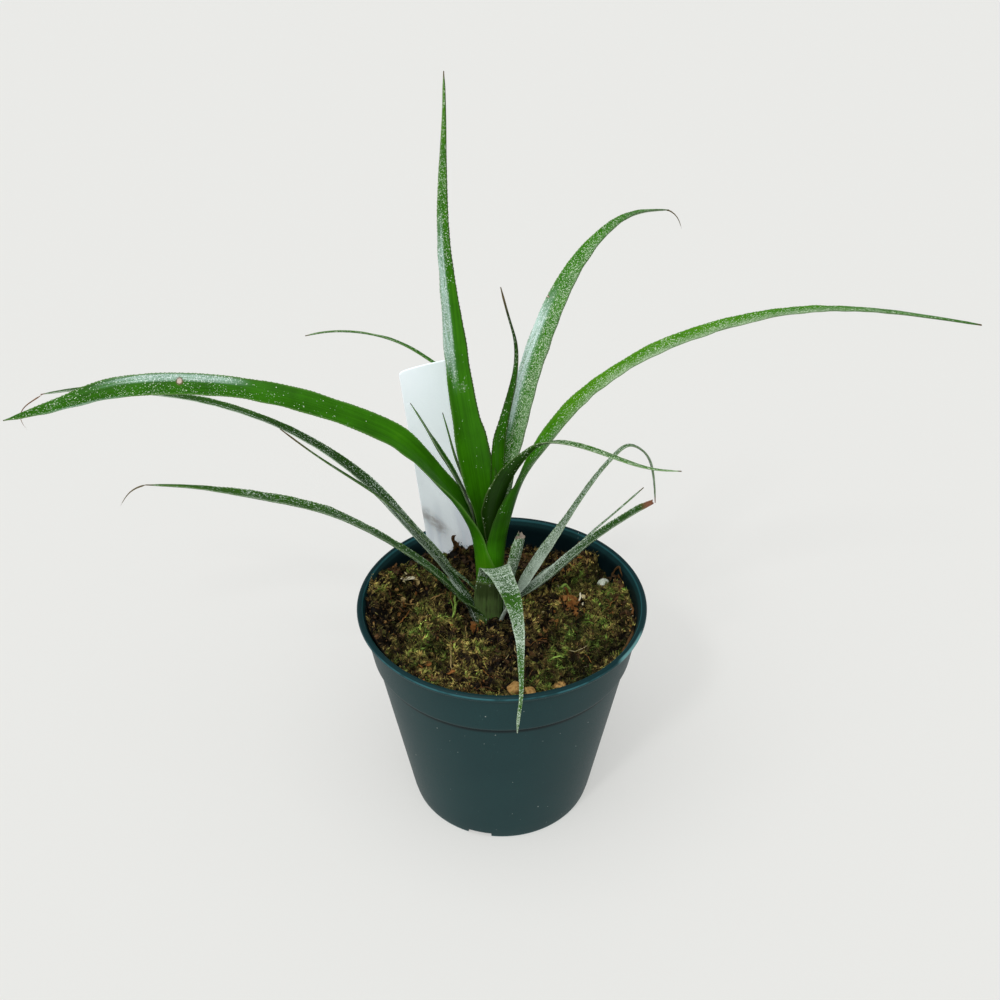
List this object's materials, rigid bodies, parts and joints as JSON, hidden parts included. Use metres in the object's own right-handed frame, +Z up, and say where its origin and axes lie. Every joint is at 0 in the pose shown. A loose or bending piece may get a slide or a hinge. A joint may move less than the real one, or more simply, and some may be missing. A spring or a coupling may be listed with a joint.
{
  "type": "potted bromeliad",
  "caption": "Small rosette bromeliad with long, narrow, finely toothed arching leaves, rooted in mossy soil in a round tapered nursery pot with a plain plant tag.",
  "frame": {"origin": "centre of the pot's flat underside", "axes": "+Z up along the pot's axis; -Y towards the leaf that hangs over the front rim; +X towards the long right-hand leaf"},
  "size_m": [0.3319, 0.1435, 0.275],
  "materials": {
    "pot_plastic": "semi-matte dark teal green, moulded",
    "soil_moss": "rough brown soil with olive and bright green moss",
    "stem_green": "matte green plant tissue",
    "young_leaf": "smooth vivid green, with white scurf towards the tip",
    "old_leaf": "grey-green, speckled with white scurf",
    "tag_vinyl": "smooth white vinyl",
    "bark": "rough tan bark",
    "perlite": "chalky white"
  },
  "bodies": {
    "root": {"pot": "pot_plastic", "soil_and_moss": "soil_moss", "stem": "stem_green", "leaf_left_long": "young_leaf", "leaf_far_right": "young_leaf", "leaf_upright": "young_leaf", "leaf_upper_right": "young_leaf", "leaf_right_curled": "young_leaf", "leaf_thin_back": "young_leaf", "leaf_inner_left": "young_leaf", "leaf_inner_sliver": "young_leaf", "leaf_centre_spear": "young_leaf", "leaf_back_left": "young_leaf", "leaf_low_left_front": "old_leaf", "leaf_low_left_back": "old_leaf", "leaf_low_left_thin": "old_leaf", "leaf_front_drooping": "old_leaf", "leaf_cut_stub": "old_leaf", "leaf_right_hooked": "old_leaf", "leaf_right_cut": "old_leaf", "leaf_right_thin": "old_leaf", "plant_tag": "tag_vinyl", "bark_chip_front": "bark", "bark_chip_front_flat": "bark", "bark_chip_front_right": "bark", "perlite_grain": "perlite"}
  },
  "joints": []
}
